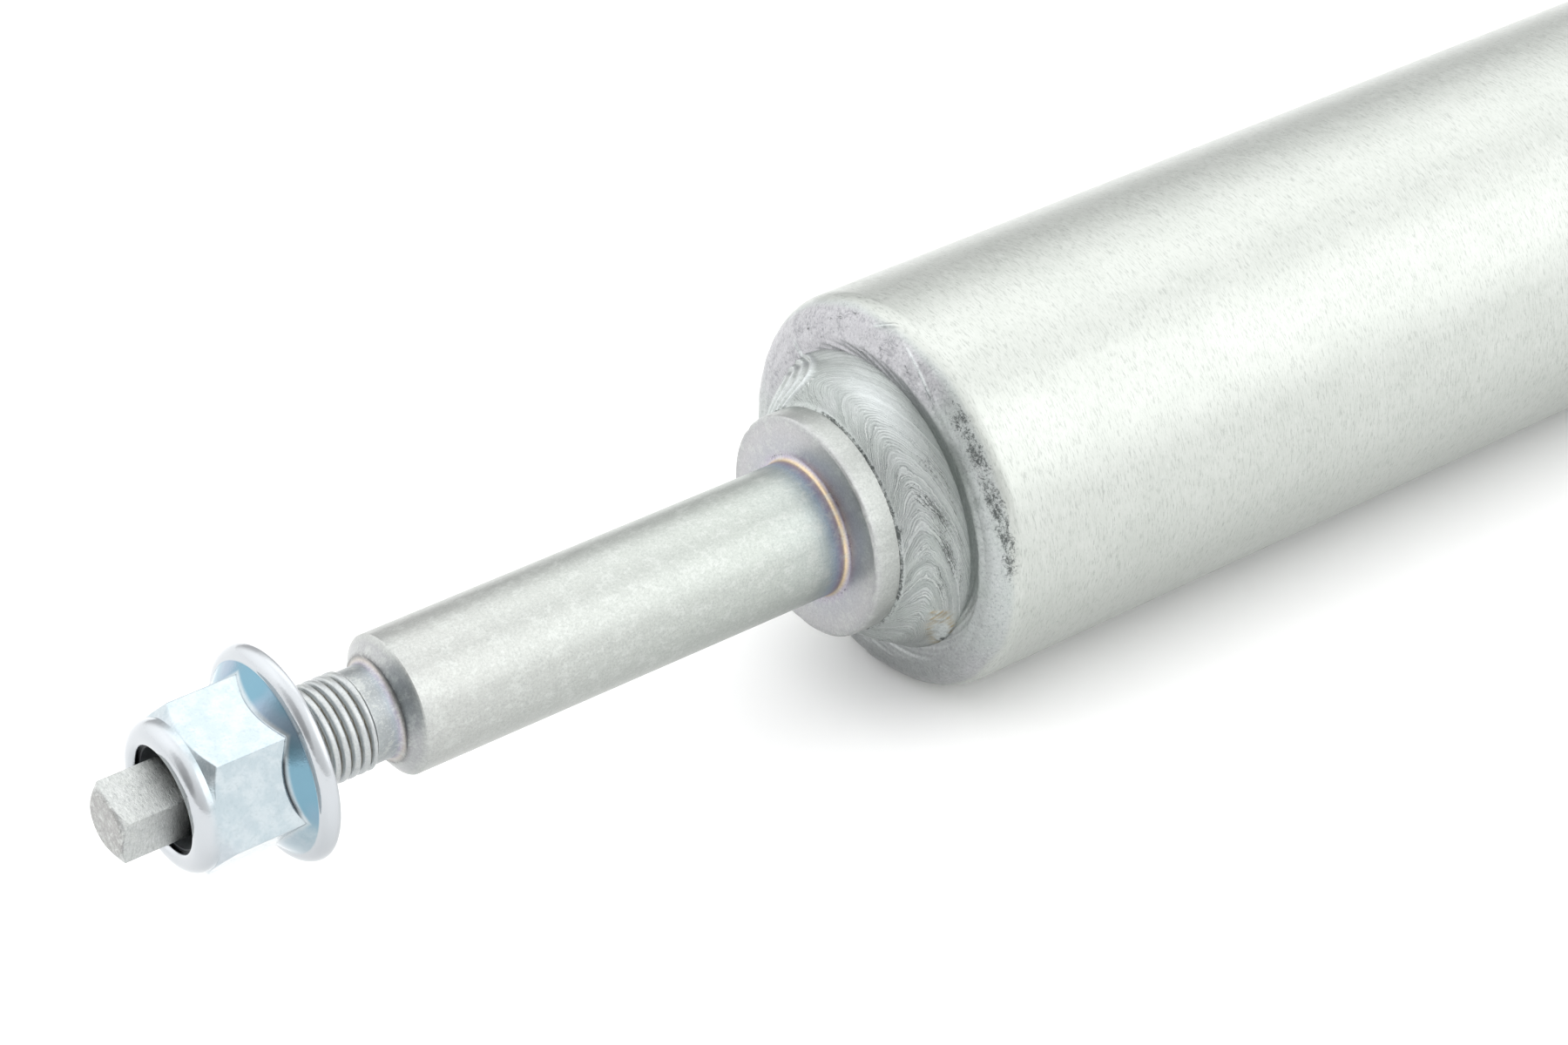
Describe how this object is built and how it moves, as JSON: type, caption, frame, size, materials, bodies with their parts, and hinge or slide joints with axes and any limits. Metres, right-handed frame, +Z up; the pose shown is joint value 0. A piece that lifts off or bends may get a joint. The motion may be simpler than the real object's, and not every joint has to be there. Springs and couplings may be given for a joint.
{
  "type": "telescopic hydraulic cylinder",
  "caption": "Telescopic hydraulic cylinder of the twin-tube damper kind, with a threaded stem mount and flange nut at the welded base and a rubber-bushed eye on the chromed rod.",
  "frame": {"origin": "on the axis at the shoulder between the stud and the shank", "axes": "+X along the cylinder from the stem to the rod eye, +Z up when it lies on a floor, the eye's bolt along Y"},
  "size_m": [0.53, 0.0582, 0.0582],
  "materials": {
    "stem_steel": "zinc plated, turned, satin",
    "cap_steel": "zinc plated, satin",
    "tube_steel": "zinc plated, brushed round, satin",
    "weld_steel": "zinc plated weld bead, satin",
    "honed_steel": "honed",
    "sintered_iron": "matt, oiled",
    "plain_steel": "oiled",
    "spring_steel": "oiled",
    "bronze": "plain bearing",
    "black_rubber": "matt",
    "ptfe": "bronze-filled, matt",
    "rod_chrome": "hard chromed and ground",
    "gland_steel": "zinc plated, turned",
    "elastomer": "matt",
    "eye_steel": "zinc plated, satin",
    "nylon": "matt",
    "nut_zinc": "blue passivated bright zinc"
  },
  "bodies": {
    "cylinder": {"stem": "stem_steel", "base_cap": "cap_steel", "reservoir_tube": "tube_steel", "stem_weld": "weld_steel", "rim_weld": "weld_steel", "pressure_tube": "honed_steel", "foot_valve_body": "sintered_iron", "foot_valve_bolt": "plain_steel", "foot_valve_shims": "plain_steel", "foot_valve_nut": "plain_steel", "foot_valve_spring": "spring_steel", "rod_guide": "sintered_iron", "guide_bush": "bronze", "guide_o_ring": "black_rubber", "rod_seal": "black_rubber", "seal_spring": "spring_steel", "gland_nut": "gland_steel", "wiper": "black_rubber"},
    "piston_band": {"piston_band": "ptfe"},
    "rod": {"piston_rod": "rod_chrome", "piston": "sintered_iron", "rebound_shims": "plain_steel", "piston_nut": "plain_steel", "intake_support": "plain_steel", "intake_spring": "spring_steel", "stop_ring": "plain_steel", "rebound_stop": "elastomer", "eye_ring": "eye_steel", "eye_weld": "weld_steel", "eye_bush": "black_rubber"},
    "intake_plate": {"intake_plate": "plain_steel"},
    "foot_valve_plate": {"foot_valve_plate": "plain_steel"},
    "eye_sleeve": {"eye_sleeve": "eye_steel"},
    "nut_insert": {"nut_insert": "nylon"},
    "flange_nut": {"flange_nut": "nut_zinc"}
  },
  "joints": [
    {"name": "rod_slide", "type": "slide", "parent": "cylinder", "child": "piston_band", "axis": [1, 0, 0], "range_m": [-0.04, 0.125]},
    {"name": "rod_turn", "type": "hinge", "parent": "piston_band", "child": "rod", "pos_m": [0.17, 0, 0], "axis": [1, 0, 0], "continuous": true},
    {"name": "intake_plate_lift", "type": "slide", "parent": "rod", "child": "intake_plate", "axis": [1, 0, 0], "range_m": [0, 0.0015], "stiffness_N_per_m": 60, "springref_m": -0.002, "deforming": ["intake_spring"]},
    {"name": "foot_valve_lift", "type": "slide", "parent": "cylinder", "child": "foot_valve_plate", "axis": [1, 0, 0], "range_m": [0, 0.0012], "stiffness_N_per_m": 60, "springref_m": -0.002, "deforming": ["foot_valve_spring"]},
    {"name": "eye_sleeve_twist", "type": "hinge", "parent": "rod", "child": "eye_sleeve", "pos_m": [0.462, 0, 0], "axis": [0, 1, 0], "range_deg": [-20, 20], "stiffness_Nm_per_rad": 15},
    {"name": "nut_advance", "type": "slide", "parent": "cylinder", "child": "nut_insert", "axis": [1, 0, 0], "range_m": [-0.0165, 0.00975]},
    {"name": "nut_turn", "type": "hinge", "parent": "nut_insert", "child": "flange_nut", "pos_m": [-0.0234, 0, 0], "axis": [1, 0, 0], "range_deg": [-3960, 2340]}
  ],
  "couplings": [
    {"joint": "nut_advance", "follows": "nut_turn", "m_per_rad": 0.00023873}
  ]
}
